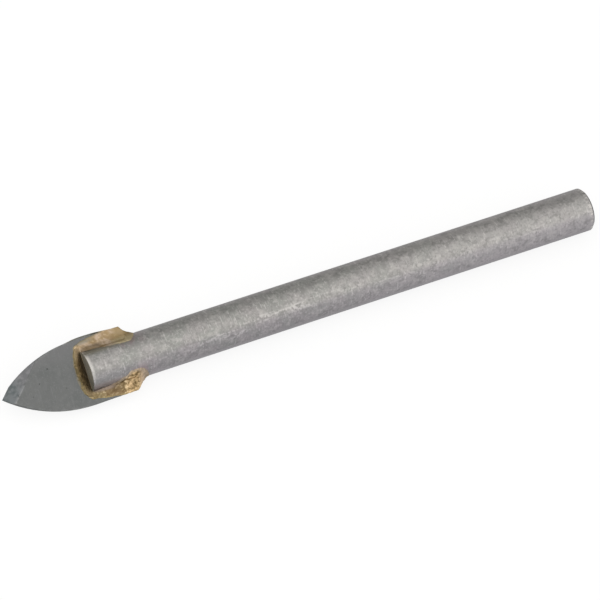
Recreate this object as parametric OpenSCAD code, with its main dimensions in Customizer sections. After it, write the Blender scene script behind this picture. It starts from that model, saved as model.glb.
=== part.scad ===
// Glass and tile drill bit: a spear-shaped carbide plate brazed into the slotted end of a round steel shank.
// The bit lies along X with the point towards -X and +Z up. It rests on its round shank and on the -Y edge
// of the plate, which is wider than the shank and leans up towards +Y.
// The origin is below the middle of the shank's axis, on the surface that the bit lies on.

/* [Shank] */
// Length of the whole bit, from the point to the back end
overall_l = 80; // [60:1:120]
// Diameter of the round steel shank
shank_d = 5.5; // [4.8:0.1:6.6]
// Length of the two jaws that grip the plate, from their front end to the plate's rear end
jaw_l = 5.6; // [4:0.1:6.5]
// Chamfer round the back end of the shank
back_chamfer = 0.28; // [0.1:0.02:0.8]
// Edge break round the front end of the jaws
jaw_edge = 0.08; // [0.02:0.02:0.2]
// Length of the cleaned front end of the shank, which is a shade slimmer than the rest
nose_l = 8.3; // [7:0.1:10]
// How much the cleaned front end narrows on each side
nose_fall = 0.03; // [0.01:0.01:0.05]

/* [Carbide tip] */
// Width of the plate at its widest place, which is the width of the hole it drills
tip_w = 8.2; // [7.2:0.1:10]
// Thickness of the plate
tip_t = 1.5; // [1:0.1:2.2]
// Length of the plate, from the point to its square rear end
tip_l = 16.3; // [15:0.1:20]
// Length of the lancet curve, from the plate's widest place to where its two arcs would meet
arc_l = 10.85; // [9:0.05:12]
// How far ahead of the ground point the two arcs would meet
arc_overrun = 0.2; // [0.1:0.05:1]
// Lean of the relief behind each curved cutting edge, in degrees
flank_lean = 3; // [2:1:20]
// Narrowing of the straight sides towards the rear, in degrees on each side
back_taper = 1.1; // [0.5:0.1:3]
// Where the upper edge of the point facet crosses the axis, measured from the point
facet_x = 1.95; // [1.2:0.05:2.5]
// Angle of the facet's upper edge to the axis
facet_turn = 45; // [35:1:55]
// Lean of the facet from upright
facet_lean = 41; // [25:1:50]

/* [Braze] */
// Thickness of the braze film between the plate and the slot
braze_gap = 0.06; // [0.03:0.01:0.15]
// How far the braze runs out on the plate ahead of the jaws
braze_reach = 1.46; // [0.8:0.02:2]
// How far the braze climbs up the front end of the jaws
braze_rise = 0.3; // [0.15:0.05:0.6]
// Radius of the hollow fillet along the sides of the jaws
side_fillet_r = 2.2; // [1.4:0.1:3]
// Radius of the hollow fillet behind each shoulder of the plate
rear_fillet_r = 2.6; // [1.8:0.1:3.5]
// Thickness of the braze on the plate's rear end, outside the shank
rear_skin = 0.2; // [0.1:0.05:0.5]
// Width of the braze at its front edge
braze_nose_w = 5.7; // [5:0.1:6.5]
// Radius of the bowed front edge of the braze
braze_nose_r = 6.3; // [5:0.1:9]
// Length of plate ahead of its rear end that the braze covers right across
braze_full_l = 2.1; // [1:0.1:3.5]
// How far a fillet's curve bites past its tangent, so that its edges are not feathered
fillet_bite = 0.04; // [0.02:0.01:0.08]

/* [Hidden] */
$fn = 180;
// Overshoot of cutting shapes past what they cut
past = 1;
shank_r = shank_d / 2;
tip_half_w = tip_w / 2;
tip_half_t = tip_t / 2;
// The slot takes the plate with a film of braze on each face and at its end
slot_w = tip_t + 2 * braze_gap;
slot_end_x = tip_l + braze_gap;
jaw_x = tip_l - jaw_l;
nose_r = shank_r - nose_fall;
widest_x = arc_l - arc_overrun;
// Half width of the plate at x, along its tapered straight sides
function side_y(x) = tip_half_w - (x - widest_x) * tan(back_taper);
shoulder_y = side_y(tip_l);
// A leaning cylinder cuts each curved edge. Its level section is an oval that runs arc_l long and
// falls half the plate's width, which fixes its radius
flank_r = (tip_half_w ^ 2 + (arc_l * cos(flank_lean)) ^ 2) / tip_w;
// The curve stops cutting behind the widest place, where the tapered side lies furthest inside it
flank_stop = flank_r * tan(back_taper) / cos(flank_lean);
// Fillet along the jaws: a cylinder that bites a little into the plate's face and the jaws' sides
side_fillet_z = tip_half_t + side_fillet_r - fillet_bite;
side_fillet_reach = nose_r + side_fillet_r - fillet_bite;
side_fillet_y = sqrt(side_fillet_reach ^ 2 - side_fillet_z ^ 2);
// Height at which that cylinder bites deepest into the jaws, which is where the braze ends
braze_top_z = nose_r * side_fillet_z / side_fillet_reach;
// Fillet ahead of the jaws, which falls from braze_rise to nothing over braze_reach
braze_toe_x = jaw_x - braze_reach;
front_fillet_r = (braze_reach / (sqrt(braze_rise + fillet_bite) - sqrt(fillet_bite))) ^ 2 / 2;
front_fillet_x = braze_toe_x - sqrt(2 * front_fillet_r * fillet_bite - fillet_bite ^ 2);
front_fillet_z = tip_half_t + front_fillet_r - fillet_bite;
// Fillet behind the shoulders, which runs from the plate's corner to the shank's side
rear_fillet_y = shank_r + rear_fillet_r - fillet_bite;
rear_fillet_x = tip_l + rear_skin + sqrt(rear_fillet_r ^ 2 - (rear_fillet_y - shoulder_y) ^ 2);
// The bit rolls over until the plate's lower corner comes down to the surface that the shank lies on
corner_r = sqrt(tip_half_w ^ 2 + tip_half_t ^ 2);
rest_roll = asin(shank_r / corner_r) - atan2(tip_half_t, tip_half_w);

// Lays a shape that is drawn along X from the point, with the plate level, as the bit comes to rest
module in_place() {
    translate([-overall_l / 2, 0, shank_r])
        rotate([rest_roll, 0, 0])
            children();
}

// A shape and its copies on both sides of the plate and above and below it
module on_four_sides() {
    for (side = [0, 1], face = [0, 1])
        mirror([0, side, 0])
            mirror([0, 0, face])
                children();
}

// Round rod along X with a chamfer at each end and a slightly tapered nose
module rod() {
    rotate([90, 0, 90])
        rotate_extrude()
            polygon([
                [0, jaw_x],
                [nose_r - jaw_edge, jaw_x],
                [nose_r, jaw_x + jaw_edge],
                [shank_r, jaw_x + nose_l],
                [shank_r, overall_l - back_chamfer],
                [shank_r - back_chamfer, overall_l],
                [0, overall_l]
            ]);
}

// Saw cut across the front of the rod that leaves two jaws
module slot() {
    translate([jaw_x - past, -shank_r - past, -slot_w / 2])
        cube([slot_end_x - jaw_x + past, shank_d + 2 * past, slot_w]);
}

module shank_solid() {
    difference() {
        rod();
        slot();
    }
}

// Flat blank of the plate, cut long at the front, with tapered sides and a square rear end
module tip_blank() {
    front_x = -arc_overrun - past;
    translate([0, 0, -tip_half_t])
        linear_extrude(tip_t)
            polygon([
                [front_x, -side_y(front_x)],
                [tip_l, -shoulder_y],
                [tip_l, shoulder_y],
                [front_x, side_y(front_x)]
            ]);
}

// What the grind behind the curved edge of the +Y side takes off: all that lies outside a leaning
// cylinder, whose edge is sharp on the lower face and set back on the upper one
module flank_waste() {
    low_y = flank_r - tip_w;
    translate([widest_x, tip_half_w - flank_r, -tip_half_t])
        rotate([0, flank_lean, 0])
            linear_extrude(2 * arc_l, center = true)
                difference() {
                    translate([-2 * arc_l, low_y])
                        square([2 * arc_l + flank_stop, tip_w + past]);
                    circle(flank_r);
                }
}

// What the flat facet on the upper face takes off beside the point
module facet_waste() {
    translate([facet_x, 0, tip_half_t])
        rotate([0, 0, facet_turn])
            rotate([facet_lean, 0, 0])
                translate([-tip_w, 0, -tip_w])
                    cube([2 * tip_w, tip_w, 2 * tip_w]);
}

module tip_solid() {
    difference() {
        tip_blank();
        flank_waste();
        rotate([180, 0, 0])
            flank_waste();
        facet_waste();
    }
}

// Outline of the braze seen from above: bowed front edge, sides that widen to the plate's full
// width, and a hollow curve from each shoulder back to the shank
module braze_outline() {
    difference() {
        intersection() {
            polygon([
                [braze_toe_x - past, -braze_nose_w / 2],
                [braze_toe_x, -braze_nose_w / 2],
                [tip_l - braze_full_l, -shoulder_y],
                [rear_fillet_x, -shoulder_y],
                [rear_fillet_x, shoulder_y],
                [tip_l - braze_full_l, shoulder_y],
                [braze_toe_x, braze_nose_w / 2],
                [braze_toe_x - past, braze_nose_w / 2]
            ]);
            translate([braze_toe_x - fillet_bite + braze_nose_r, 0])
                circle(max(braze_nose_r, rear_fillet_x - braze_toe_x - braze_nose_r));
        }
        for (side = [-1, 1])
            translate([rear_fillet_x, side * rear_fillet_y])
                circle(rear_fillet_r);
    }
}

// Air above the hollow fillet along one side of one jaw
module side_fillet_air() {
    translate([braze_toe_x - past, side_fillet_y, side_fillet_z])
        rotate([0, 90, 0])
            cylinder(h = rear_fillet_x - braze_toe_x + 2 * past, r = side_fillet_r);
}

// Air above the hollow fillet ahead of one jaw
module front_fillet_air() {
    translate([front_fillet_x, -tip_half_w, front_fillet_z])
        rotate([-90, 0, 0])
            cylinder(h = tip_w, r = front_fillet_r);
}

module braze_solid() {
    difference() {
        translate([0, 0, -braze_top_z])
            linear_extrude(2 * braze_top_z)
                braze_outline();
        on_four_sides()
            side_fillet_air();
        for (face = [0, 1])
            mirror([0, 0, face])
                front_fillet_air();
        shank_solid();
        tip_solid();
    }
}

module shank() {
    color("#97948f")
        in_place()
            shank_solid();
}

module carbide_tip() {
    color("#767978")
        in_place()
            tip_solid();
}

module braze() {
    color("#b08d55")
        in_place()
            braze_solid();
}

shank();
carbide_tip();
braze();
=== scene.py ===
# %% [markdown]
# # A glass and tile drill bit
#
# The real bit is three things: a round steel shank, a flat spear-shaped plate of carbide that sits in a saw
# cut across the front of the shank, and the braze metal that ran into the joint and held it when it cooled.
# The shank and the plate come as exact solids and only need the finish of the real metal. Real braze is too
# ragged for a drawing, so this lesson lets it run again as a piece of its own.

# %% Load the fixed frame
import math

import bpy
import numpy as np
from mathutils import Matrix, Vector, noise


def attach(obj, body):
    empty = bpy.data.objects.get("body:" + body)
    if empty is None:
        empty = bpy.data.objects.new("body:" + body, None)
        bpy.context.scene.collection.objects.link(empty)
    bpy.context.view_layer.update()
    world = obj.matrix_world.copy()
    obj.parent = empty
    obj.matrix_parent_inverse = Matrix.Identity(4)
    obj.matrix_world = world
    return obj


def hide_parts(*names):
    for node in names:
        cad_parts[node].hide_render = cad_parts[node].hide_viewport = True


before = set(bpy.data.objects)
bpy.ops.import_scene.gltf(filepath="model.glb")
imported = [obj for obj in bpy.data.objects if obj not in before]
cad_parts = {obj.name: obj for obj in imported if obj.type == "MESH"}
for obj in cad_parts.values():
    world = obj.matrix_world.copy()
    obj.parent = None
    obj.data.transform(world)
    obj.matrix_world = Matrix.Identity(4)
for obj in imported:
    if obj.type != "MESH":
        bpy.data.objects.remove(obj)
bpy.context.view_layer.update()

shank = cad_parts["shank"]
carbide_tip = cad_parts["carbide_tip"]

# %% [markdown]
# ## One frame to think in
#
# The bit lies rolled over, with one edge of its plate on the table. That is awkward to think in, so every
# place below is given in a drawing frame: millimetres, x from the point along the axis, y across the plate
# and z up out of its flat face. One matrix takes a drawing point to where the bit really lies, in metres.

# %% The drawing frame
MM = 0.001
OVERALL = 80.0
SHANK_R = 2.75
PLATE_HALF_W = 4.1
PLATE_HALF_T = 0.75

corner_r = math.hypot(PLATE_HALF_W, PLATE_HALF_T)
REST_ROLL = math.asin(SHANK_R / corner_r) - math.atan2(PLATE_HALF_T, PLATE_HALF_W)
lay_down = Matrix.Translation((-OVERALL / 2 * MM, 0, SHANK_R * MM)) @ Matrix.Rotation(REST_ROLL, 4, "X")
drawing_to_row = lay_down @ Matrix.Scale(MM, 4)
point_at = [round(v, 4) for v in drawing_to_row @ Vector((0, 0, 0))]
print("rolled by", round(math.degrees(REST_ROLL), 2), "degrees; the point is at", point_at)

# %% [markdown]
# ## The camera
#
# A long lens looks at the plate's flat face, leaning back towards the point by about twenty degrees, and
# shrinks the shank only a little with distance. The camera turns about its own axis until the bit runs
# uphill to the right. A constraint could aim it, but three axes given directly leave nothing to chance.

# %% Aim the camera
LEAN = math.radians(20.7)
UPHILL = math.radians(18.104)
LENS = 282.59
SENSOR = 36.0
NEAREST = 0.05
EYE = Vector((-163.875, 0.246, 539.301))

along = Vector((math.cos(LEAN), 0, math.sin(LEAN)))
across = Vector((0, 1, 0))
towards_eye = Vector((-math.sin(LEAN), 0, math.cos(LEAN)))
view_right = math.cos(UPHILL) * along - math.sin(UPHILL) * across
view_up = math.sin(UPHILL) * along + math.cos(UPHILL) * across
axes = Matrix((view_right, view_up, towards_eye)).transposed()

camera_data = bpy.data.cameras.new("camera")
camera_data.lens = LENS
camera_data.sensor_width = SENSOR
camera_data.sensor_fit = "HORIZONTAL"
camera_data.clip_start = NEAREST
camera = bpy.data.objects.new("camera", camera_data)
scene = bpy.context.scene
scene.collection.objects.link(camera)
camera.matrix_world = Matrix.Translation(drawing_to_row @ EYE) @ (lay_down.to_3x3() @ axes).to_4x4()
scene.camera = camera
print("camera at", [round(v, 4) for v in camera.matrix_world.translation])

# %% [markdown]
# ## Small helpers for node materials
#
# A finish here is a handful of noises and masks that are mixed together. Nodes could be placed by hand in
# the editor, but a script can be read and run again. The first helper fills a socket, with a link or a plain
# value. The others add one node each and hand back its output, so that a finish reads like a recipe.

# %% Helpers that add one node
def feed(tree, socket, value):
    """Link an output to a socket, or set a plain value on it."""
    if isinstance(value, bpy.types.NodeSocket):
        tree.links.new(value, socket)
    else:
        socket.default_value = value


def maths(tree, operation, first, second=0.0, third=0.0):
    """Add one Math node."""
    made = tree.nodes.new("ShaderNodeMath")
    made.operation = operation
    feed(tree, made.inputs[0], first)
    feed(tree, made.inputs[1], second)
    feed(tree, made.inputs[2], third)
    return made.outputs[0]


def rise(tree, value, low, high):
    """A mask that rises smoothly from 0 where the value is low to 1 where it is high."""
    made = tree.nodes.new("ShaderNodeMapRange")
    made.interpolation_type = "SMOOTHSTEP"
    feed(tree, made.inputs["Value"], value)
    made.inputs["From Min"].default_value = low
    made.inputs["From Max"].default_value = high
    return made.outputs["Result"]


def blend(tree, share, first, second, how="MIX"):
    """Mix two colours, each a plain tuple or another node's output."""
    made = tree.nodes.new("ShaderNodeMix")
    made.data_type = "RGBA"
    made.blend_type = how
    feed(tree, made.inputs[0], share)
    for socket, value in ((made.inputs[6], first), (made.inputs[7], second)):
        feed(tree, socket, (*value, 1.0) if isinstance(value, tuple) else value)
    return made.outputs[2]


print("helpers so far: feed, maths, rise and blend")

# %% [markdown]
# Most steps of a recipe lay a colour over what is there already, in the place where several masks agree. Two
# helpers say just that: one multiplies masks and shares, the other lays the colour.

# %% Helpers that lay a colour
def times(tree, *shares):
    """Multiply masks and plain shares."""
    total = shares[0]
    for share in shares[1:]:
        total = maths(tree, "MULTIPLY", total, share)
    return total


def lay(tree, tone, colour, *shares):
    """Lay a colour over a tone where all the shares agree."""
    return blend(tree, times(tree, *shares), tone, colour)


print("helpers that lay a colour: times and lay")

# %% [markdown]
# Every finish starts the same way: a new material, and the place on the bit. The place turns the object's
# own coordinates back into the drawing frame, so that masks can be written in the same numbers as the
# drawing. Grain is noise that can be stretched and turned, so one helper makes specks, rings and scratches.

# %% Helpers that start a finish
def new_finish(name):
    """A new material with its node tree and its main shader."""
    finish = bpy.data.materials.new(name)
    finish.use_nodes = True
    return finish, finish.node_tree, finish.node_tree.nodes["Principled BSDF"]


def grain(tree, place, scale, detail=2.0, stretch=(1.0, 1.0, 1.0), turn=(0.0, 0.0, 0.0)):
    """Noise over a place, at a scale, stretched and turned."""
    fit = tree.nodes.new("ShaderNodeMapping")
    tree.links.new(place, fit.inputs["Vector"])
    fit.inputs["Rotation"].default_value = turn
    fit.inputs["Scale"].default_value = stretch
    made = tree.nodes.new("ShaderNodeTexNoise")
    tree.links.new(fit.outputs["Vector"], made.inputs["Vector"])
    made.inputs["Scale"].default_value = scale
    made.inputs["Detail"].default_value = detail
    return made.outputs["Fac"]


def drawing_place(tree):
    """The place in drawing millimetres, whole and as x, y and z."""
    where = tree.nodes.new("ShaderNodeTexCoord")
    back = tree.nodes.new("ShaderNodeMapping")
    back.inputs["Scale"].default_value = (1 / MM, 1 / MM, 1 / MM)
    back.inputs["Rotation"].default_value = (-REST_ROLL, 0, 0)
    back.inputs["Location"].default_value = drawing_to_row.inverted().to_translation()
    tree.links.new(where.outputs["Object"], back.inputs["Vector"])
    split = tree.nodes.new("ShaderNodeSeparateXYZ")
    tree.links.new(back.outputs["Vector"], split.inputs["Vector"])
    return back.outputs["Vector"], split.outputs["X"], split.outputs["Y"], split.outputs["Z"]


print("helpers that start a finish: new_finish, grain and drawing_place")

# %% [markdown]
# ## The steel of the shank
#
# The shank is turned steel that was tumbled after brazing, so it is dull, warm grey and speckled, with soft
# patches and faint rings from turning. A picture could be wrapped round it, but noises in drawing millimetres
# need no unwrapping and keep the grain the same size on every part of it.

# %% Patches, rings and specks of the steel
OLIVE_GREY, PINK_GREY = (0.276, 0.279, 0.263), (0.318, 0.303, 0.297)
BACK_GREY = (0.365, 0.350, 0.346)
DARK_PATCH, LIGHT_PATCH = (0.252, 0.246, 0.238), (0.385, 0.372, 0.358)
RING_GREY = (0.24, 0.235, 0.23)
DARK_SPECK, LIGHT_SPECK = (0.18, 0.175, 0.17), (0.47, 0.455, 0.44)

steel, tree, shader = new_finish("dull_tumbled_steel")
place, x, y, z = drawing_place(tree)
cloud = grain(tree, place, 0.35, 3.0)
patch = grain(tree, place, 1.15, 4.0)
speck = grain(tree, place, 3.4, 3.0)
rings = grain(tree, place, 1.0, 3.0, stretch=(7.0, 0.5, 0.5))
tone = blend(tree, rise(tree, cloud, 0.35, 0.65), OLIVE_GREY, PINK_GREY)
tone = lay(tree, tone, BACK_GREY, rise(tree, x, 25.0, 78.0), 0.6)
tone = lay(tree, tone, DARK_PATCH, rise(tree, patch, 0.50, 0.64), 0.8)
tone = lay(tree, tone, LIGHT_PATCH, rise(tree, patch, 0.46, 0.34), 0.7)
tone = lay(tree, tone, RING_GREY, rise(tree, rings, 0.50, 0.75), 0.35)
tone = lay(tree, tone, LIGHT_SPECK, rise(tree, speck, 0.52, 0.72), 0.55)
tone = lay(tree, tone, DARK_SPECK, rise(tree, speck, 0.46, 0.28), 0.5)
print("steel so far:", len(tree.nodes), "nodes")

# %% [markdown]
# A broken line of painted highlight, a lamp's sheen, runs along the middle of the shank and steps down
# towards the joint, and fine scratches run across it. Both could be drawn as single strokes, but a stretched
# noise that is cut off high shows only its peaks and looks less planned. Below the line the flank is painted
# in a darker, bluish shade, and its lowest edge a little lighter, as a painted reflection of the paper.

# %% Painted highlight, scratches and painted shade on the lower flank
SHEEN_HIGHLIGHT = (0.52, 0.505, 0.49)
SCRATCHED = (0.56, 0.545, 0.53)
LOW_SHADE_FRONT, LOW_SHADE_BACK = (0.875, 0.862, 0.915), (0.950, 0.935, 0.990)
LOW_EDGE_REFLECTION = (0.350, 0.340, 0.350)
STEP_DOWN = 0.8

sheen_grain = grain(tree, place, 1.0, 3.0, stretch=(0.30, 2.6, 2.6), turn=(0.0, 0.0, 0.03))
line_y = maths(tree, "MULTIPLY_ADD", rise(tree, x, 32.5, 30.0), STEP_DOWN, y)
middle = times(tree, rise(tree, line_y, 0.4, -0.1), rise(tree, line_y, -1.2, -0.6))
weaker_behind = maths(tree, "MULTIPLY_ADD", rise(tree, x, 44.0, 40.0), 0.35, 0.35)
fade = times(tree, rise(tree, x, 20.0, 27.0), weaker_behind)
# painted highlight: a broken streak of lamp sheen along the middle of the shank
tone = lay(tree, tone, SHEEN_HIGHLIGHT, rise(tree, sheen_grain, 0.48, 0.60), middle, rise(tree, speck, 0.38, 0.60), fade)
scratch = grain(tree, place, 1.0, 1.0, stretch=(6.0, 0.7, 0.7), turn=(0.0, 0.0, -0.25))
tone = lay(tree, tone, SCRATCHED, rise(tree, scratch, 0.64, 0.71), rise(tree, speck, 0.36, 0.52), 0.45)
# painted shade: the flank below the line is made darker and bluish, most towards the front
lower_flank_shade = blend(tree, rise(tree, x, 25.0, 70.0), LOW_SHADE_FRONT, LOW_SHADE_BACK)
tone = blend(tree, rise(tree, y, -0.2, -1.2), tone, lower_flank_shade, how="MULTIPLY")
# painted reflection: the lowest edge of the flank is made lighter, as if lit by the paper
tone = lay(tree, tone, LOW_EDGE_REFLECTION, rise(tree, y, -2.30, -2.65), 0.8)
print("steel so far:", len(tree.nodes), "nodes")

# %% [markdown]
# At the back end the turning tool left a light band of fine ticks, a dark chamfer and a flat face with the
# rings of its cut. The solid has the chamfer. Ticks and rings could be engraved in it too, but they are only
# hundredths of a millimetre deep, so a tone is enough, and a ring wave round the axis draws the face.

# %% The back end
CHAMFER_X = OVERALL - 0.28
TICK = (0.54, 0.52, 0.50)
CHAMFER_DARK = (0.11, 0.105, 0.10)
CUT_DARK, CUT_LIGHT = (0.215, 0.209, 0.200), (0.290, 0.282, 0.272)
CUT_STAIN = (0.150, 0.143, 0.132)

notch = grain(tree, place, 1.0, 2.0, stretch=(1.5, 4.5, 4.5))
by_chamfer = rise(tree, x, CHAMFER_X - 0.55, CHAMFER_X - 0.20)
tone = lay(tree, tone, TICK, by_chamfer, rise(tree, notch, 0.44, 0.60), 0.75)
tone = lay(tree, tone, CHAMFER_DARK, rise(tree, x, CHAMFER_X + 0.04, CHAMFER_X + 0.10), 0.8)
face_cut = tree.nodes.new("ShaderNodeTexWave")
face_cut.wave_type = "RINGS"
face_cut.rings_direction = "X"
face_cut.inputs["Scale"].default_value = 1.7
face_cut.inputs["Distortion"].default_value = 1.2
face_cut.inputs["Detail"].default_value = 2.0
tree.links.new(place, face_cut.inputs["Vector"])
cut_tone = blend(tree, face_cut.outputs["Fac"], CUT_DARK, CUT_LIGHT)
cut_tone = lay(tree, cut_tone, CUT_STAIN, rise(tree, patch, 0.48, 0.62), 0.6)
tone = lay(tree, tone, cut_tone, rise(tree, x, OVERALL - 0.03, OVERALL - 0.01))
print("steel so far:", len(tree.nodes), "nodes")

# %% [markdown]
# The joint changes the steel near it: heat left a purple-brown bloom behind the braze, and flux left a wash
# along the jaws' sides, which is olive on the raised side. Both could be painted by hand, but masks by place
# put them where the flame was, and the steel's own patches break up the bloom.

# %% The joint's bloom and wash
BLOOM = (0.250, 0.190, 0.205)
WASH_LOW, WASH_RAISED = (0.228, 0.190, 0.180), (0.228, 0.204, 0.152)

from_plate = maths(tree, "ABSOLUTE", z)
behind_plate = times(tree, rise(tree, x, 19.2, 17.0), rise(tree, x, 14.8, 16.0))
near_joint = times(tree, behind_plate, rise(tree, from_plate, 2.70, 2.1))
tone = lay(tree, tone, BLOOM, near_joint, rise(tree, patch, 0.62, 0.42), 0.8)
wash_tone = blend(tree, rise(tree, y, -0.5, 0.5), WASH_LOW, WASH_RAISED)
tone = lay(tree, tone, wash_tone, rise(tree, x, 17.9, 16.8), rise(tree, from_plate, 2.25, 1.70), 0.75)
print("steel so far:", len(tree.nodes), "nodes")

# %% [markdown]
# The jaws' front rim carries a painted highlight, brighter on the raised side and fading out on the low one,
# and their end face is dark with scale. Scale is not bare metal, so there the shader is mostly a plain dull
# surface. A second material on those faces would do, but one mask that drives both colour and metallic share
# leaves the solid as it is.

# %% The painted highlight on the jaws' rim, and their end face
JAW_X = 10.7
RIM_HIGHLIGHT_LOW, RIM_HIGHLIGHT_RAISED = (0.50, 0.485, 0.465), (0.60, 0.565, 0.520)
SCALE_DARK, SCALE_LIGHT = (0.115, 0.108, 0.086), (0.185, 0.175, 0.145)
SCALE_LOW = (0.092, 0.094, 0.078)
SCALE_SHARE = 0.85

by_rim_highlight = times(tree, rise(tree, x, JAW_X + 0.52, JAW_X + 0.15), rise(tree, y, -2.0, 0.3))
rim_highlight_tone = blend(tree, rise(tree, y, 0.6, 1.8), RIM_HIGHLIGHT_LOW, RIM_HIGHLIGHT_RAISED)
# painted highlight along the jaws' front rim, stronger on the raised side
tone = lay(tree, tone, rim_highlight_tone, by_rim_highlight, rise(tree, patch, 0.66, 0.50), 0.85)
end_face = rise(tree, x, JAW_X + 0.03, JAW_X + 0.01)
scale_tone = blend(tree, speck, SCALE_DARK, SCALE_LIGHT)
scale_tone = lay(tree, scale_tone, SCALE_LOW, rise(tree, y, -0.6, -1.8), 0.7)
tone = lay(tree, tone, scale_tone, end_face)
feed(tree, shader.inputs["Metallic"], maths(tree, "MULTIPLY_ADD", end_face, -SCALE_SHARE, 1.0))
print("steel colour:", len(tree.nodes), "nodes")

# %% [markdown]
# Tumbling leaves no mirror. The specks vary how rough the steel is, and three bumps, each finer than the one
# before, break up its sheen. They are too shallow to be worth a finer mesh.

# %% Finish the steel
STEEL_TINT = (0.62, 0.61, 0.63, 1.0)


def bump(tree, height, depth_mm, strength=1.0, under=None):
    """Lean the surface by a height of some depth, over another bump if there is one."""
    made = tree.nodes.new("ShaderNodeBump")
    feed(tree, made.inputs["Strength"], strength)
    made.inputs["Distance"].default_value = depth_mm * MM
    tree.links.new(height, made.inputs["Height"])
    if under is not None:
        tree.links.new(under, made.inputs["Normal"])
    return made.outputs["Normal"]


feed(tree, shader.inputs["Base Color"], tone)
feed(tree, shader.inputs["Roughness"], maths(tree, "MULTIPLY_ADD", speck, 0.25, 0.30))
shader.inputs["Specular Tint"].default_value = STEEL_TINT
relief = bump(tree, patch, 0.05, 0.6)
relief = bump(tree, speck, 0.025, 0.8, under=relief)
relief = bump(tree, rings, 0.008, 0.5, under=relief)
tree.links.new(relief, shader.inputs["Normal"])
shank.data.materials[0] = steel
print("steel finish:", len(tree.nodes), "nodes")

# %% [markdown]
# ## The carbide of the plate
#
# Sintered carbide is darker and smoother than the steel. A grinding wheel left faint lines across its face.
# Lines could be cut into the mesh, but a noise that is stretched across the plate costs two nodes, and slow
# clouds of tone keep so plain a face from looking like plastic.

# %% Clouds and wheel lines of the carbide
DARK_CLOUD, LIGHT_CLOUD = (0.114, 0.119, 0.118), (0.130, 0.133, 0.132)
MOTTLE_GREY = (0.140, 0.143, 0.143)
RAISED_GREY = (0.150, 0.149, 0.152)
WHEEL_GREY = (0.160, 0.164, 0.165)
CARBIDE_SPECK = (0.180, 0.185, 0.185)

carbide, tree, shader = new_finish("ground_carbide")
place, x, y, z = drawing_place(tree)
cloud = grain(tree, place, 0.4, 3.0)
mottle = grain(tree, place, 1.6, 3.0)
speck = grain(tree, place, 6.0, 3.0)
wheel = grain(tree, place, 1.0, 2.0, stretch=(4.0, 0.35, 4.0), turn=(0.0, 0.0, 0.3))
tone = blend(tree, rise(tree, cloud, 0.3, 0.7), DARK_CLOUD, LIGHT_CLOUD)
tone = lay(tree, tone, MOTTLE_GREY, rise(tree, mottle, 0.45, 0.65), 0.5)
tone = lay(tree, tone, RAISED_GREY, rise(tree, y, 1.2, 3.4), 0.6)
tone = lay(tree, tone, WHEEL_GREY, rise(tree, wheel, 0.56, 0.74), 0.35)
tone = lay(tree, tone, CARBIDE_SPECK, rise(tree, speck, 0.54, 0.72), 0.4)
print("carbide so far:", len(tree.nodes), "nodes")

# %% [markdown]
# The cutting edges carry a painted highlight, a little brightness where a sharp edge catches the light. They
# are two arcs of the same radius, so how far a place lies inside an edge is a short sum, which is surer than
# painting along the rim.

# %% Painted highlight along the edges
EDGE_R = 16.37
WIDEST_X = 10.65
EDGE_HIGHLIGHT = (0.20, 0.205, 0.205)

run = maths(tree, "SUBTRACT", x, WIDEST_X)
arc = maths(tree, "SQRT", maths(tree, "MULTIPLY_ADD", times(tree, run, run), -1.0, EDGE_R ** 2))
reach_y = maths(tree, "SUBTRACT", arc, EDGE_R - PLATE_HALF_W)
inside = maths(tree, "SUBTRACT", reach_y, maths(tree, "ABSOLUTE", y))
edge_highlight = times(tree, rise(tree, inside, 0.20, 0.05), rise(tree, mottle, 0.40, 0.62), rise(tree, x, 11.0, 9.0))
# painted highlight: the cutting edges near the point are made a little brighter
tone = lay(tree, tone, EDGE_HIGHLIGHT, edge_highlight, 0.5)
print("carbide so far:", len(tree.nodes), "nodes")

# %% [markdown]
# Beside the point a flat facet was ground, and it took a bluish, mottled tone. The solid has its shape, so
# only the tone is laid here: how far a place lies beyond the ridge, where facet and face meet, says where.
# The ridge itself carries a painted highlight near the point, which fades away from it.

# %% The facet and its ridge
FACET_X = 1.95
FACET_TURN = math.radians(45)
POINT_DARK, POINT_LIGHT = (0.124, 0.140, 0.143), (0.185, 0.197, 0.204)
UP_EDGE_DARK, UP_EDGE_LIGHT = (0.175, 0.178, 0.183), (0.238, 0.236, 0.243)
RIDGE_HIGHLIGHT = (0.25, 0.255, 0.262)

beside = maths(tree, "MULTIPLY_ADD", maths(tree, "SUBTRACT", x, FACET_X), -math.sin(FACET_TURN),
               times(tree, y, math.cos(FACET_TURN)))
facet = times(tree, rise(tree, beside, 0.0, 0.08), rise(tree, z, -0.74, -0.70))
by_point = blend(tree, rise(tree, mottle, 0.38, 0.62), POINT_DARK, POINT_LIGHT)
up_edge = blend(tree, rise(tree, mottle, 0.38, 0.62), UP_EDGE_DARK, UP_EDGE_LIGHT)
tone = lay(tree, tone, blend(tree, rise(tree, x, 1.5, 3.0), by_point, up_edge), facet)
ridge = rise(tree, maths(tree, "ABSOLUTE", beside), 0.20, 0.03)
ridge_highlight = times(tree, ridge, rise(tree, mottle, 0.36, 0.52), rise(tree, x, 4.2, 1.8))
# painted highlight along the facet's ridge, fading away from the point
tone = lay(tree, tone, RIDGE_HIGHLIGHT, ridge_highlight, 0.8)
print("carbide so far:", len(tree.nodes), "nodes")

# %% [markdown]
# A few pores of the sintered metal show as small dark pits. Noise could scatter them, but there are only
# four, so each gets its own place and radius, and the distance to it makes the spot.

# %% Pits
PITS = ((6.12, 1.80, 0.16), (4.62, 0.36, 0.12), (7.7, -1.1, 0.09), (3.4, -0.9, 0.08))
PIT_DARK = (0.05, 0.052, 0.052)

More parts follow.
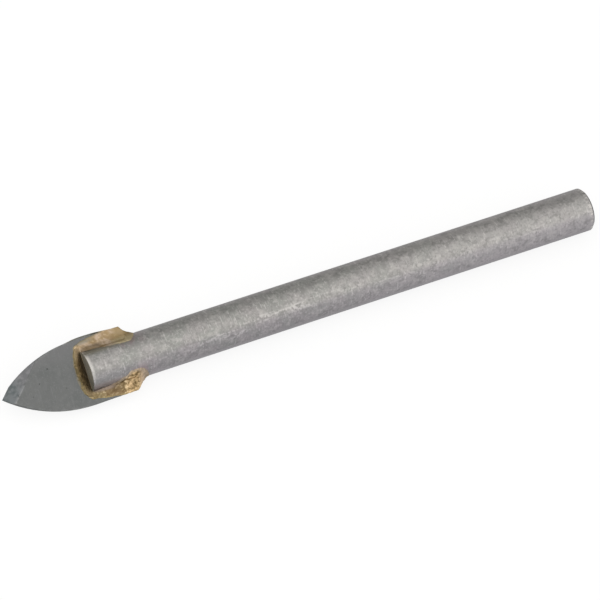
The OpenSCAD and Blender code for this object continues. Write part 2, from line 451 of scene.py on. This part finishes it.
for pit_x, pit_y, pit_r in PITS:
    to_pit = tree.nodes.new("ShaderNodeVectorMath")
    to_pit.operation = "DISTANCE"
    tree.links.new(place, to_pit.inputs[0])
    to_pit.inputs[1].default_value = (pit_x, pit_y, PLATE_HALF_T)
    tone = lay(tree, tone, PIT_DARK, rise(tree, to_pit.outputs["Value"], pit_r, pit_r * 0.4), 0.7)
print("carbide colour:", len(tree.nodes), "nodes with", len(PITS), "pits")

# %% [markdown]
# The ground face has a soft sheen. Clouds vary its roughness, and two very shallow bumps, one of specks and
# one of the wheel's lines, catch the light as grinding does.

# %% Finish the carbide
CARBIDE_TINT = (0.5, 0.5, 0.5, 1.0)

feed(tree, shader.inputs["Base Color"], tone)
shader.inputs["Metallic"].default_value = 1.0
feed(tree, shader.inputs["Roughness"], maths(tree, "MULTIPLY_ADD", cloud, 0.2, 0.30))
shader.inputs["Specular Tint"].default_value = CARBIDE_TINT
relief = bump(tree, speck, 0.01, 0.5)
tree.links.new(bump(tree, wheel, 0.006, 0.4, under=relief), shader.inputs["Normal"])
carbide_tip.data.materials[0] = carbide
print("carbide finish:", len(tree.nodes), "nodes")

# %% [markdown]
# ## The braze
#
# Braze metal runs where it is drawn: a low bead on the plate ahead of the jaws, a hollow fillet along each
# side, a web behind each shoulder and a thin film that climbs the shank. It could be sculpted, but all of it
# can be seen from the axis, so a tube round the bit is easier: for each place along the axis and each
# direction round it, how far out does the braze reach? Where there is none, the tube dips just under the
# plate or the shank, and the ragged line where it comes up again is the edge of the braze.
#
# Even steps round the axis would be simplest, but near the plate's edges the directions only graze its face,
# and the mesh there would be coarse. So the steps are even across the face instead.

# %% Directions round the axis
FINE_TO_Y = 1.0
FIRST_X, LAST_X, STATIONS = 8.9, 18.9, 166

plate_corner = math.atan2(PLATE_HALF_T, PLATE_HALF_W)
plate_y = np.linspace(PLATE_HALF_W, FINE_TO_Y, 60)
quarter = np.concatenate([
    np.linspace(0, plate_corner, 9)[:-1],
    np.arctan2(PLATE_HALF_T, plate_y),
    np.linspace(math.atan2(PLATE_HALF_T, FINE_TO_Y), math.pi / 2, 40)[1:],
])
half_turn = np.concatenate([quarter[:-1], math.pi - quarter[:0:-1]])
whole_turn = np.concatenate([half_turn, half_turn + math.pi])
stations = np.linspace(FIRST_X, LAST_X, STATIONS)
axis_x, direction = np.meshgrid(stations, whole_turn, indexing="ij")
cosine, sine = np.cos(direction), np.sin(direction)
raised = cosine > 0
off_plate = np.arctan2(np.abs(sine), np.abs(cosine))
print("braze skin:", axis_x.shape, "points")

# %% [markdown]
# First comes the bare metal: how far the plate and the shank reach in each direction. Rays could be shot at
# the solids to find out, but the plate is a flat slab and the shank is round with a slightly slimmer nose,
# so a few lines of arithmetic say the same.

# %% How far the bare metal reaches
# (x, reach) from the axis to the side of the plate, then of the web behind its shoulders
SIDE_RAISED = [(8.0, 3.9), (10.65, 4.10), (16.3, 3.99), (16.42, 3.80), (16.7, 3.40), (17.05, 3.12),
               (17.6, 2.88), (18.2, 2.76), (18.7, 2.70), (19.5, 2.66)]
SIDE_LOW = [(8.0, 3.9), (10.65, 4.10), (16.3, 3.92), (16.5, 3.78), (16.8, 3.44), (17.15, 3.10),
            (17.7, 2.82), (18.3, 2.72), (19.5, 2.66)]
BEHIND_JAW_FACE = 0.06
NOSE_L, NOSE_FALL = 8.3, 0.03
ALMOST_NONE = 1e-6


def along_curve(points, at):
    """The value of a curve, given as (place, value) points, at other places."""
    places, values = zip(*points)
    return np.interp(at, places, values)


level = np.maximum(np.abs(cosine), ALMOST_NONE)
upright = np.maximum(np.abs(sine), ALMOST_NONE)
side_reach = np.where(raised, along_curve(SIDE_RAISED, axis_x), along_curve(SIDE_LOW, axis_x))
bare_plate = np.minimum(side_reach / level, PLATE_HALF_T / upright)
behind_jaw_face = axis_x > JAW_X + BEHIND_JAW_FACE
nose_share = np.clip((axis_x - JAW_X) / NOSE_L, 0, 1)
bare_shank = np.where(behind_jaw_face, SHANK_R - NOSE_FALL * (1 - nose_share), 0)
bare = np.maximum(bare_plate, bare_shank)
print("bare metal up to", round(bare.max(), 2), "mm from the axis")

# %% [markdown]
# Behind each shoulder of the plate a web of braze was drawn out along the shank. A fillet of one radius would
# end too soon, so a soft hump, which sinks and narrows towards the back, takes the plate's place there.

# %% The webs behind the shoulders
PLATE_END_X = 16.3
WEB_RUN = 0.4
# (x, half width) of the web where it stands on the shank
WEB_HALF_W = [(16.3, 1.10), (17.0, 0.95), (18.0, 0.70), (19.5, 0.50)]


def smooth_rise(low, high, value):
    """A share that rises smoothly from 0 where the value is low to 1 where it is high."""
    share = np.clip((value - low) / (high - low), 0, 1)
    return share * share * (3 - 2 * share)


web_place = off_plate * SHANK_R / along_curve(WEB_HALF_W, axis_x)
hump = np.maximum(side_reach - bare_shank, 0) * np.exp(-web_place ** 2)
bare = bare + smooth_rise(PLATE_END_X, PLATE_END_X + WEB_RUN, axis_x) * (bare_shank + hump - bare)
print("webs from x", PLATE_END_X, "mm, standing up to", round(hump.max(), 2), "mm off the shank")

# %% [markdown]
# Along each side the braze is a hollow fillet: seen from the front, a circle that just meets the plate's face
# and the jaw. A curve could be swept along the joint, but a ray from the axis meets that circle where a
# quadratic says, and the fillet is simply what lies between there and the bare metal.

# %% The hollow fillets
FILLET_R = 2.2
FILLET_Y, FILLET_Z = 3.917, 2.91
FILLET_FADES_X, FILLET_ENDS_X = 16.5, 17.9

to_centre = FILLET_Y * level + FILLET_Z * upright
under_root = to_centre ** 2 - (FILLET_Y ** 2 + FILLET_Z ** 2 - FILLET_R ** 2)
hollow = np.where(under_root > 0, to_centre - np.sqrt(np.maximum(under_root, 0)), 0)
rise_to_hollow = np.maximum(hollow - bare, 0)
beside_jaw = behind_jaw_face & (off_plate < math.atan2(FILLET_Z, FILLET_Y))
fillet = np.where(beside_jaw, rise_to_hollow, 0) * smooth_rise(FILLET_ENDS_X, FILLET_FADES_X, axis_x)
fillet = np.minimum(fillet, np.maximum(side_reach / level - bare, 0))
print("fillet up to", round(fillet.max(), 2), "mm thick")

# %% [markdown]
# The braze on the plate's face ends in a front edge that bows round the jaws. How far a place lies behind it
# decides nearly everything there. The edge is traced with close points, and the nearest one gives the
# distance, which is simpler than an exact formula.

# %% Distance behind the front edge
# (x, y) along the front edge on the plate's face, from the low side to the raised one
FRONT_EDGE = [(17.0, -4.60), (15.0, -4.10), (13.51, -3.88), (12.24, -3.71), (10.82, -3.44), (10.13, -3.11),
              (9.56, -2.43), (9.36, -1.64), (9.29, -0.80), (9.28, 0.0), (9.36, 1.04), (9.64, 2.38),
              (9.99, 3.17), (10.27, 3.42), (10.97, 3.64), (12.24, 3.87), (13.51, 4.06), (16.0, 4.60)]
TRACE_POINTS = 400

edge_x, edge_y = np.array(FRONT_EDGE).T
out_along_face = PLATE_HALF_T / np.maximum(np.tan(off_plate), ALMOST_NONE)
at_y = np.sign(cosine) * np.minimum(out_along_face, side_reach)
trace_y = np.linspace(edge_y[0], edge_y[-1], TRACE_POINTS)
trace_x = np.interp(trace_y, edge_y, edge_x)
behind_edge = np.empty_like(axis_x)
for row, station in enumerate(stations):
    gap = np.hypot(station - trace_x, at_y[row, :, None] - trace_y).min(axis=1)
    behind_edge[row] = np.where(station > np.interp(at_y[row], edge_y, edge_x), gap, -gap)
print("front edge from x", edge_x.min(), "mm; deepest behind it:", round(behind_edge.max(), 2), "mm")

# %% [markdown]
# On the shank the braze is a film that climbs higher towards the back. Cover says how deep inside the braze a
# place is, on the plate or the shank, in millimetres, and is negative outside it. A clean edge would look cut
# with a knife, so a slow noise bends it and a fast one frays it.

# %% Cover
# (x, height in degrees from the plate) that the film climbs round the shank
FILM_RAISED = [(10.7, 22), (11.8, 26), (12.6, 28), (13.3, 35), (14.2, 38), (15.2, 40), (16.1, 43),
               (16.9, 42), (17.5, 32), (17.9, 12), (18.2, -20)]
FILM_LOW = [(10.7, 19), (11.4, 20), (12.2, 21), (13.4, 30), (14.3, 38), (15.1, 45), (15.7, 54),
            (16.6, 57), (17.4, 50), (17.8, 38), (18.1, 20), (18.4, -20)]
SPILL_START_X = 9.3
WEB_START_X = PLATE_END_X + 0.1
EDGE_BEND, EDGE_FRAY = 0.09, 0.05


def field(scale, seed, octaves=3):
    """Noise at every point of the skin."""
    at = np.stack([axis_x, bare * cosine, bare * sine], axis=-1).reshape(-1, 3) * scale + seed
    return np.array([noise.fractal(Vector(p), 1.0, 2.0, octaves) for p in at]).reshape(axis_x.shape)


film_top = np.radians(np.where(raised, along_curve(FILM_RAISED, axis_x), along_curve(FILM_LOW, axis_x)))
on_shank = (film_top - off_plate) * SHANK_R
on_plate = np.where(raised & (off_plate < plate_corner), axis_x - SPILL_START_X, behind_edge)
is_shank = (bare_shank > bare_plate) | (axis_x > WEB_START_X)
cover = np.where(is_shank, on_shank, on_plate) + EDGE_BEND * field(1.3, 3.1) + EDGE_FRAY * field(4.0, 7.7)
print("cover from", round(cover.min(), 2), "to", round(cover.max(), 2), "mm")

# %% [markdown]
# Braze freezes in lumps as it runs. The low side at the rear, where it was fed in, is the roughest, and the
# raised side is smooth. A displacement on the finished mesh could do it, but here the lumps are known before
# the skin is made, so they simply add to its thickness.

# %% Lumps
SMOOTH_LUMPS, ROUGH_LUMPS = 0.03, 0.12

lumps = 0.5 + 0.5 * field(2.6, 11.0, 4)
fed_in = smooth_rise(12.0, 14.5, axis_x) * smooth_rise(0.2, -0.8, cosine)
off_side = smooth_rise(0.08, 0.30, off_plate)
rough = (SMOOTH_LUMPS + ROUGH_LUMPS * fed_in) * off_side
print("lumps up to", round((lumps * rough).max(), 2), "mm high")

# %% [markdown]
# Ahead of the jaws the braze is a rounded bead that falls into a dark crevice at the jaws' feet, and at the
# corners it climbs to meet the fillets. On the raised side some of it spilled over the plate's edge. Adding
# up the thicknesses melts them together, as separate pieces would not.

# %% How far the braze reaches
# (x, thickness) of the braze that spilled over the plate's raised side
SPILL = [(9.2, 0.0), (10.2, 0.06), (11.2, 0.15), (12.0, 0.17), (13.1, 0.16), (14.2, 0.09),
         (15.2, 0.02), (16.3, 0.0)]
SINK = 0.06
BEAD_H = 0.12
CLIMB_X, CLIMB_H = 9.9, 0.35
FILM_T, LOW_SIDE_T = 0.03, 0.02
FILM_RUN_OUT, PLATE_RUN_OUT = 0.28, 0.15

bead = BEAD_H * smooth_rise(0.0, 0.42, behind_edge) * (1 - 0.85 * smooth_rise(0.45, 1.15, behind_edge))
bead = bead * smooth_rise(3.2, 2.4, np.abs(at_y))
climb = smooth_rise(CLIMB_X, JAW_X, axis_x) * CLIMB_H
at_corner = np.where(off_plate < 0.31, np.minimum(rise_to_hollow, climb), 0)
ahead = np.where(behind_jaw_face, 0, np.maximum(bead / np.maximum(upright, 0.2), at_corner))
spill = np.where(raised, along_curve(SPILL, axis_x), LOW_SIDE_T) * smooth_rise(0.30, 0.15, off_plate)
thick = fillet + ahead + spill + FILM_T + lumps * rough
run_out = np.where(is_shank, FILM_RUN_OUT, PLATE_RUN_OUT)
reach = bare - SINK + smooth_rise(0, 1, 0.5 + 0.5 * cover / run_out) * (SINK + thick)
print("braze reaches", round(reach.max(), 2), "mm from the axis")

# %% [markdown]
# The skin becomes a closed piece of metal. A Solidify modifier would thicken it, but with a blunt rim.
# Instead only the squares that hold braze are kept, and a backing lies under them, a little inside the plate
# and the shank. Along the rim the skin and its backing share their points, so no edge is left open.

# %% Choose the squares that hold braze
is_braze = cover > -run_out
kept = is_braze[:-1] | is_braze[1:]
kept = kept | np.roll(kept, -1, axis=1)
kept_both_ways = np.pad(kept & np.roll(kept, 1, axis=1), ((1, 1), (0, 0)))
off_rim = kept_both_ways[:-1] & kept_both_ways[1:]


def kept_squares(index):
    """The kept squares of the tube, each with the numbers of its four points."""
    after = np.roll(index, -1, axis=1)
    return np.stack([index[:-1], after[:-1], after[1:], index[1:]], axis=-1)[kept]


skin_index = np.arange(axis_x.size).reshape(axis_x.shape)
skin_squares = kept_squares(skin_index)
backing_squares = kept_squares(np.where(off_rim, skin_index + axis_x.size, skin_index))[:, ::-1]
print("kept", len(skin_squares), "of", kept.size, "squares of the skin")

# %% [markdown]
# Reach and direction give the points, and the drawing matrix lays them where the bit lies. The braze rests on
# the table like the rest of the bit, so nothing of it may reach below. Points that no square uses are left
# out, because loose points would travel along into every export.

# %% Work out the points
BACKING = 0.04


def to_row(reach_there):
    """Every point of the tube at this reach, in metres where the bit lies and not below the table."""
    tube = np.stack([axis_x, reach_there * cosine, reach_there * sine, np.ones_like(axis_x)], axis=-1)
    laid = (tube.reshape(-1, 4) @ np.array(drawing_to_row).T)[:, :3]
    laid[:, 2] = np.maximum(laid[:, 2], 0.0)
    return laid


metal = np.where(axis_x > PLATE_END_X, bare_shank, np.maximum(bare_plate, bare_shank))
points = np.concatenate([to_row(reach), to_row(metal - SINK - BACKING)])
used, quads = np.unique(np.concatenate([skin_squares, backing_squares]), return_inverse=True)
points, quads = points[used], quads.reshape(-1, 4)
print("points:", len(points), "from z", round(points[:, 2].min(), 5), "m up")

# %% [markdown]
# The arrays become a mesh in one call, which is far quicker than adding faces one by one. It also carries two
# measures for the colours that follow: how far each point lies behind the front edge, and how deep inside the
# film on the shank. Points that a measure isn't meant for get a large value.

# %% Build the braze piece
FAR_INSIDE = 9.0

braze_mesh = bpy.data.meshes.new("braze_run")
braze_mesh.from_pydata(points.tolist(), [], quads.tolist())
braze_mesh.polygons.foreach_set("use_smooth", np.arange(len(quads)) < len(skin_squares))
measures = {
    "behind_edge": np.where(is_shank, FAR_INSIDE, behind_edge),
    "inside_film": np.where(is_shank, cover, FAR_INSIDE),
}
for measure, values in measures.items():
    carried = braze_mesh.attributes.new(measure, "FLOAT", "POINT")
    carried.data.foreach_set("value", np.tile(values.ravel(), 2)[used].astype(np.float32))
braze_mesh.update()
braze_run = bpy.data.objects.new("braze_run", braze_mesh)
scene.collection.objects.link(braze_run)
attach(braze_run, "root")
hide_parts("braze")
print("braze piece:", len(points), "points,", len(quads), "faces")

# %% [markdown]
# Where the flame reached it the braze is brassy gold with bright sparkles and dark pits, and the smooth run
# on the raised side is pink with copper. One colour would look like paint, so noise picks the mix, and a mask
# by place keeps each on its own side.

# %% Gold and copper of the braze
GOLD_DARK, GOLD_LIGHT = (0.175, 0.122, 0.058), (0.370, 0.275, 0.148)
SPARKLE, GOLD_PIT = (0.72, 0.58, 0.38), (0.115, 0.070, 0.028)
COPPER_TAN, COPPER_PINK = (0.300, 0.215, 0.120), (0.430, 0.335, 0.250)
COPPER_BROWN, COPPER_SPECK = (0.230, 0.160, 0.080), (0.56, 0.44, 0.29)

brass, tree, shader = new_finish("run_braze")
place, x, y, z = drawing_place(tree)
drift = grain(tree, place, 0.8, 3.0)
blotch = grain(tree, place, 1.5, 4.0)
speck = grain(tree, place, 2.7, 3.0)
from_middle = maths(tree, "ABSOLUTE", y)
from_plate = maths(tree, "ABSOLUTE", z)
gold = blend(tree, rise(tree, blotch, 0.38, 0.60), GOLD_DARK, GOLD_LIGHT)
gold = lay(tree, gold, SPARKLE, rise(tree, speck, 0.53, 0.66), 0.9)
gold = lay(tree, gold, GOLD_PIT, rise(tree, speck, 0.45, 0.31), 0.7)
copper = blend(tree, rise(tree, drift, 0.40, 0.60), COPPER_TAN, COPPER_PINK)
copper = lay(tree, copper, COPPER_BROWN, rise(tree, blotch, 0.52, 0.68), 0.5)
copper = lay(tree, copper, COPPER_SPECK, rise(tree, speck, 0.54, 0.70), 0.4)
raised_side = rise(tree, y, -0.5, 1.5)
low_side = maths(tree, "SUBTRACT", 1.0, raised_side)
tone = blend(tree, raised_side, gold, copper)
print("braze so far:", len(tree.nodes), "nodes")

# %% [markdown]
# The two strips beside the jaws change along their length. The low one goes from olive through brown to a
# sparkling orange gold, and ends in copper. The raised one starts dull and ends in a deeper gold. One ramp
# along x could hold a row of colours, but with a mask for each they can overlap and differ by side.

# %% The strips beside the jaws
BROWN = (0.155, 0.105, 0.058)
OLIVE_DARK, OLIVE_LIGHT = (0.112, 0.080, 0.040), (0.222, 0.178, 0.096)
ORANGE_GOLD = (0.610, 0.430, 0.240)
COPPER_END = (0.50, 0.395, 0.305)
DEEP_GOLD = (0.265, 0.195, 0.095)
DULL_TAN = (0.205, 0.192, 0.152)

tone = lay(tree, tone, BROWN, low_side, rise(tree, x, 14.9, 13.9), rise(tree, x, 11.6, 12.6), 0.7)
olive_tone = blend(tree, blotch, OLIVE_DARK, OLIVE_LIGHT)
tone = lay(tree, tone, olive_tone, low_side, rise(tree, x, 12.6, 11.4), 0.75)
tone = lay(tree, tone, ORANGE_GOLD, low_side, rise(tree, x, 14.5, 15.4), rise(tree, speck, 0.38, 0.58), 0.78)
tone = lay(tree, tone, COPPER_END, low_side, rise(tree, x, 16.3, 17.3), 0.7)
tone = lay(tree, tone, DEEP_GOLD, raised_side, rise(tree, x, 14.7, 15.9), 0.75)
outer_front = times(tree, rise(tree, from_middle, 3.15, 3.55), rise(tree, x, 13.4, 11.6))
tone = lay(tree, tone, DULL_TAN, raised_side, outer_front, 0.8)
print("braze so far:", len(tree.nodes), "nodes")

# %% [markdown]
# Thin braze shows what it lies on. Its front edge is a line of gold on the low side and of olive on the
# raised one, a grey skin covers the spill over the raised side, and a dark line follows each jaw. The measure
# that the mesh carries finds the front edge, and a little noise keeps the line from looking ruled.

# %% The front edge, the spill and the line along the jaws
EDGE_GOLD, EDGE_OLIVE = (0.300, 0.235, 0.115), (0.165, 0.142, 0.088)
SPILL_GREY = (0.150, 0.150, 0.130)
JAW_LINE_LOW, JAW_LINE_RAISED = (0.250, 0.198, 0.172), (0.135, 0.098, 0.060)
WIDER_RAISED = 0.12

edge_mark = tree.nodes.new("ShaderNodeAttribute")
edge_mark.attribute_name = "behind_edge"
behind = maths(tree, "MULTIPLY_ADD", maths(tree, "SUBTRACT", blotch, 0.5), 0.5, edge_mark.outputs["Fac"])
edge_tone = blend(tree, raised_side, EDGE_GOLD, EDGE_OLIVE)
tone = lay(tree, tone, edge_tone, rise(tree, behind, 0.34, 0.10), 0.75)
tone = lay(tree, tone, SPILL_GREY, rise(tree, y, 3.85, 4.05), rise(tree, x, 14.2, 12.4))
from_jaw = maths(tree, "MULTIPLY_ADD", raised_side, -WIDER_RAISED, from_middle)
along_jaw = times(tree, rise(tree, from_jaw, 2.98, 2.64), rise(tree, from_plate, 0.85, 1.05))
jaw_tone = blend(tree, raised_side, JAW_LINE_LOW, JAW_LINE_RAISED)
tone = lay(tree, tone, jaw_tone, along_jaw, rise(tree, x, 14.0, 12.8), 0.75)
print("braze so far:", len(tree.nodes), "nodes")

# %% [markdown]
# On the shank the film thins out to a brownish edge, and behind the shoulders it fades into a tail. On the
# raised side its rear end was rubbed to a lighter olive. The film's edge wanders too much for a mask by
# place, so the second measure that the mesh carries finds it.

# %% The film on the shank
FILM_BROWN = (0.265, 0.222, 0.180)
RUBBED_OLIVE = (0.420, 0.355, 0.220)

film_mark = tree.nodes.new("ShaderNodeAttribute")
film_mark.attribute_name = "inside_film"
film_edge = times(tree, rise(tree, film_mark.outputs["Fac"], 0.40, 0.05), rise(tree, x, 13.0, 14.5))
tail = maths(tree, "MAXIMUM", film_edge, rise(tree, x, 16.9, 17.8))
tone = lay(tree, tone, FILM_BROWN, tail, 0.75)
inner_rear = times(tree, raised_side, rise(tree, x, 14.0, 15.5), rise(tree, from_middle, 2.90, 2.45))
tone = lay(tree, tone, RUBBED_OLIVE, inner_rear, 0.75)
print("braze so far:", len(tree.nodes), "nodes")

# %% [markdown]
# The bead ahead of the jaws goes from olive gold at its toe through brown to the black of the crevice at the
# jaws' feet. The brown and the black are partly the braze's own colour and partly painted shade in that
# recess, and the painted shade is darkest in the middle. The crevice is deeper than the mesh shows, so its
# painted shade does the rest.

# %% The bead and the painted shade of the crevice
OLIVE_MIDDLE, OLIVE_SIDES = (0.062, 0.048, 0.022), (0.152, 0.122, 0.065)
UMBER_MIDDLE, UMBER_SIDES = (0.140, 0.098, 0.049), (0.188, 0.140, 0.080)
BEAD_SPECK = (0.300, 0.208, 0.095)
TOE_GREY = (0.105, 0.099, 0.084)
CREVICE_SHADE_MIDDLE, CREVICE_SHADE_SIDES = (0.044, 0.033, 0.020), (0.084, 0.064, 0.038)
CREVICE_BOW = 0.03

from_middle_bent = maths(tree, "MULTIPLY_ADD", maths(tree, "SUBTRACT", drift, 0.5), 2.0, from_middle)
sides = rise(tree, from_middle_bent, 0.8, 2.4)
olive = blend(tree, sides, OLIVE_MIDDLE, OLIVE_SIDES)
umber = blend(tree, sides, UMBER_MIDDLE, UMBER_SIDES)
# partly painted shade: the bead turns brown towards the jaws, darkest in the middle
bead_tone = blend(tree, rise(tree, behind, 0.30, 0.65), olive, umber)
bead_tone = lay(tree, bead_tone, BEAD_SPECK, rise(tree, speck, 0.52, 0.66), 0.25)
bead_tone = lay(tree, bead_tone, TOE_GREY, rise(tree, behind, 0.20, 0.05))
on_bead = times(tree, rise(tree, x, JAW_X + 0.10, JAW_X - 0.05), rise(tree, from_middle, 3.3, 2.7))
tone = lay(tree, tone, bead_tone, on_bead, 0.9)
bowed_x = maths(tree, "MULTIPLY_ADD", times(tree, y, y), -CREVICE_BOW, x)
crevice_shade = times(tree, rise(tree, bowed_x, 10.02, 10.46), on_bead, rise(tree, from_middle, 2.75, 2.2))
# painted shade: the crevice at the jaws' feet is made nearly black, darkest in the middle
tone = lay(tree, tone, blend(tree, sides, CREVICE_SHADE_MIDDLE, CREVICE_SHADE_SIDES), crevice_shade)
print("braze colour:", len(tree.nodes), "nodes")

# %% [markdown]
# Frozen braze is shiny where it ran smooth and dull where it is blotched. The specks that colour it also lean
# its surface, much less on the raised side.

# %% Finish the braze
BRAZE_TINT = (0.6, 0.55, 0.45, 1.0)

feed(tree, shader.inputs["Base Color"], tone)
shader.inputs["Metallic"].default_value = 1.0
feed(tree, shader.inputs["Roughness"], maths(tree, "MULTIPLY_ADD", blotch, 0.35, 0.24))
shader.inputs["Specular Tint"].default_value = BRAZE_TINT
roughened = maths(tree, "MULTIPLY_ADD", raised_side, -0.65, 0.9)
tree.links.new(bump(tree, speck, 0.08, roughened), shader.inputs["Normal"])
braze_mesh.materials.append(brass)
print("braze finish:", len(tree.nodes), "nodes")

# %% [markdown]
# ## The light
#
# Metal shows what stands round it. Lamps alone would leave it black between their reflections, so a dome
# lights it from all sides: bright on the viewer's side and dimmer behind, with a fairly sharp change between
# the two, which gives the shank its dark upper band.

# %% Light the dome
VIEWER_SIDE = Vector((-0.5, -0.6, 0.62)).normalized()
BEHIND = (0.43, 0.43, 0.42, 1.0)
AHEAD = (1.0, 0.99, 0.97, 1.0)
BETWEEN = ((0.46, 0.515), (0.63, 0.93))
DOME_STRENGTH = 1.35

scene.view_settings.view_transform = "Standard"
world = bpy.data.worlds.new("soft_dome")
scene.world = world
world.use_nodes = True
tree = world.node_tree
sky = tree.nodes["Background"]
heading = tree.nodes.new("ShaderNodeTexCoord")
facing = tree.nodes.new("ShaderNodeVectorMath")
facing.operation = "DOT_PRODUCT"
tree.links.new(heading.outputs["Generated"], facing.inputs[0])
facing.inputs[1].default_value = VIEWER_SIDE
dome = tree.nodes.new("ShaderNodeValToRGB")
stops = dome.color_ramp.elements
stops[0].position, stops[0].color = 0.30, BEHIND
stops[1].position, stops[1].color = 0.78, AHEAD
for position, level_there in BETWEEN:
    stop = stops.new(position)
    stop.color = (level_there, level_there * 0.995, level_there * 0.98, 1.0)
half = maths(tree, "MULTIPLY_ADD", facing.outputs["Value"], 0.5, 0.5)
tree.links.new(half, dome.inputs["Fac"])
tree.links.new(dome.outputs["Color"], sky.inputs["Color"])
sky.inputs["Strength"].default_value = DOME_STRENGTH
print("dome of", len(stops), "steps")

# %% [markdown]
# One softbox on the viewer's side adds the sheen along the shank and a soft shadow. It is large and near, so
# neither has a hard edge.

# %% Add the softbox
SOFTBOX_SIZE = 0.5
SOFTBOX_POWER = 1.0
SOFTBOX_AT = Vector((-0.25, -0.35, 0.65))

lamp_data = bpy.data.lights.new("softbox", "AREA")
lamp_data.shape = "SQUARE"
lamp_data.size = SOFTBOX_SIZE
lamp_data.energy = SOFTBOX_POWER
lamp = bpy.data.objects.new("softbox", lamp_data)
scene.collection.objects.link(lamp)
lamp.location = SOFTBOX_AT
lamp.rotation_euler = (-SOFTBOX_AT).to_track_quat("-Z", "Y").to_euler()

# %% [markdown]
# ## The floor
#
# The bit lies on white paper. More light would whiten it, but would bleach the bit too. So where the camera
# or a reflection sees it, the paper is lifted towards pure white, and the rest of its brightness is ordinary
# light on it, which keeps the bit's soft shadow.

# %% Lay the floor
FLOOR_HALF = 2.0

floor_mesh = bpy.data.meshes.new("floor")
around = ((-1, -1), (1, -1), (1, 1), (-1, 1))
corners = [(side_x * FLOOR_HALF, side_y * FLOOR_HALF, 0) for side_x, side_y in around]
floor_mesh.from_pydata(corners, [], [(0, 1, 2, 3)])
floor = bpy.data.objects.new("floor", floor_mesh)
scene.collection.objects.link(floor)
print("floor:", 2 * FLOOR_HALF, "m square")

# %% [markdown]
# The paper's fibres are a very fine noise. The Light Path node tells which rays look at the paper: for those
# of the camera, reflections and glass most of the shader is a plain white glow.

# %% White paper
LIFT = 0.85
FIBRE_SCALE = 900.0
PAPER_DARK, PAPER_LIGHT = (0.84, 0.84, 0.84), (0.88, 0.88, 0.88)

paper, tree, shader = new_finish("white_paper")
where = tree.nodes.new("ShaderNodeTexCoord")
fibre = grain(tree, where.outputs["Object"], FIBRE_SCALE, 3.0)
feed(tree, shader.inputs["Base Color"], blend(tree, fibre, PAPER_DARK, PAPER_LIGHT))
shader.inputs["Roughness"].default_value = 0.9
shader.inputs["Specular IOR Level"].default_value = 0.1
glow = tree.nodes.new("ShaderNodeEmission")
glow.inputs["Strength"].default_value = 1.0
path = tree.nodes.new("ShaderNodeLightPath")
seen = maths(tree, "MAXIMUM", path.outputs["Is Camera Ray"], path.outputs["Is Glossy Ray"])
seen = maths(tree, "MAXIMUM", seen, path.outputs["Is Transmission Ray"])
both = tree.nodes.new("ShaderNodeMixShader")
tree.links.new(maths(tree, "MULTIPLY", seen, LIFT), both.inputs[0])
tree.links.new(shader.outputs[0], both.inputs[1])
tree.links.new(glow.outputs[0], both.inputs[2])
tree.links.new(both.outputs[0], tree.nodes["Material Output"].inputs["Surface"])
floor_mesh.materials.append(paper)
print("paper:", len(tree.nodes), "nodes")
